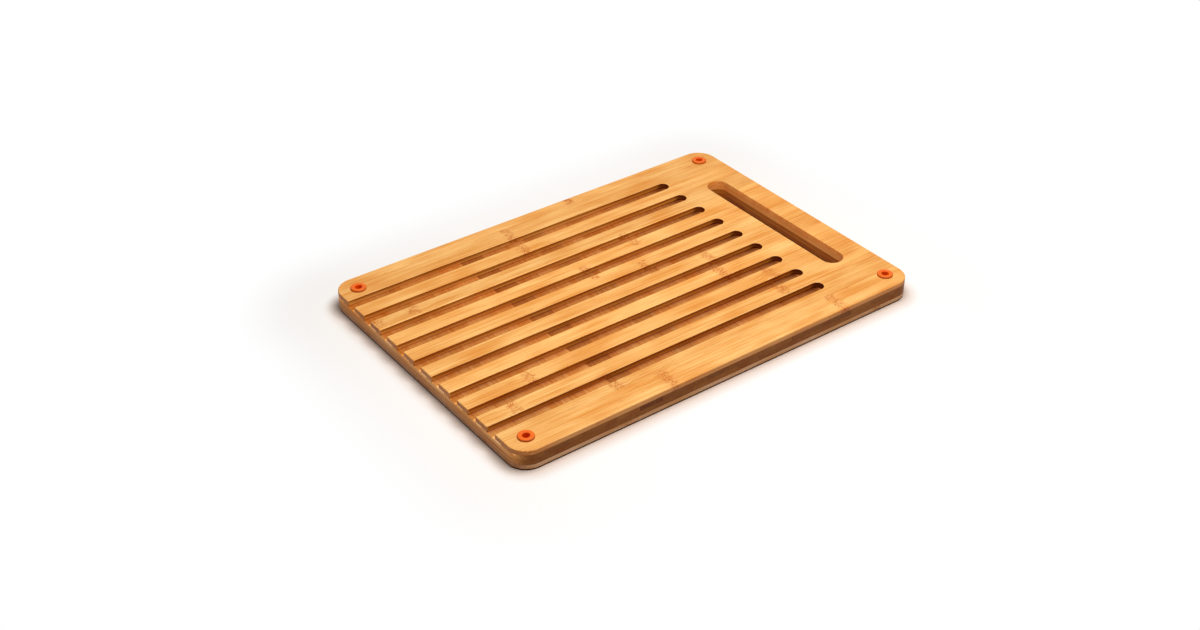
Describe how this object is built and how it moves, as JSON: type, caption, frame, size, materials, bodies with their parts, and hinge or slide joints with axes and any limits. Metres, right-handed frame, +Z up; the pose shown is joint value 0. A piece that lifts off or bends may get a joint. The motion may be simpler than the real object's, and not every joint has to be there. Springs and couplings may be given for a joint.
{
  "type": "bread board",
  "caption": "Bamboo bread board of crosswise glued strips, with lengthwise crumb grooves, a grip slot at one end and silicone eyelets in the corners.",
  "frame": {"origin": "on the table under the middle of the board, in the plane of the eyelets' undersides", "axes": "+X along the board towards the grip slot, +Y from the front edge to the back one, +Z up"},
  "size_m": [0.4, 0.28, 0.0198],
  "materials": {
    "face_bamboo": "oiled, satin",
    "core_bamboo": "oiled, satin",
    "silicone": "soft matte"
  },
  "bodies": {
    "root": {"eyelet_back_left": "silicone", "eyelet_back_right": "silicone", "eyelet_front_left": "silicone", "eyelet_front_right": "silicone", "lower_core_strip_01": "core_bamboo", "lower_core_strip_02": "core_bamboo", "lower_core_strip_03": "core_bamboo", "lower_core_strip_04": "core_bamboo", "lower_core_strip_05": "core_bamboo", "lower_core_strip_06": "core_bamboo", "lower_core_strip_07": "core_bamboo", "lower_core_strip_08": "core_bamboo", "lower_core_strip_09": "core_bamboo", "lower_core_strip_10": "core_bamboo", "lower_core_strip_11": "core_bamboo", "lower_core_strip_12": "core_bamboo", "lower_core_strip_13": "core_bamboo", "lower_core_strip_14": "core_bamboo", "lower_core_strip_15": "core_bamboo", "lower_core_strip_16": "core_bamboo", "lower_core_strip_17": "core_bamboo", "lower_core_strip_18": "core_bamboo", "lower_core_strip_19": "core_bamboo", "lower_face_strips": "face_bamboo", "upper_core_strip_01": "core_bamboo", "upper_core_strip_02": "core_bamboo", "upper_core_strip_03": "core_bamboo", "upper_core_strip_04": "core_bamboo", "upper_core_strip_05": "core_bamboo", "upper_core_strip_06": "core_bamboo", "upper_core_strip_07": "core_bamboo", "upper_core_strip_08": "core_bamboo", "upper_core_strip_09": "core_bamboo", "upper_core_strip_10": "core_bamboo", "upper_core_strip_11": "core_bamboo", "upper_core_strip_12": "core_bamboo", "upper_core_strip_13": "core_bamboo", "upper_core_strip_14": "core_bamboo", "upper_core_strip_15": "core_bamboo", "upper_core_strip_16": "core_bamboo", "upper_core_strip_17": "core_bamboo", "upper_core_strip_18": "core_bamboo", "upper_core_strip_19": "core_bamboo", "upper_face_strip_01": "face_bamboo", "upper_face_strip_02": "face_bamboo", "upper_face_strip_03": "face_bamboo", "upper_face_strip_04": "face_bamboo", "upper_face_strip_05": "face_bamboo", "upper_face_strip_06": "face_bamboo", "upper_face_strip_07": "face_bamboo", "upper_face_strip_08": "face_bamboo", "upper_face_strip_09": "face_bamboo", "upper_face_strip_10": "face_bamboo", "upper_face_strip_11": "face_bamboo", "upper_face_strip_12": "face_bamboo", "upper_face_strip_13": "face_bamboo"}
  },
  "joints": []
}
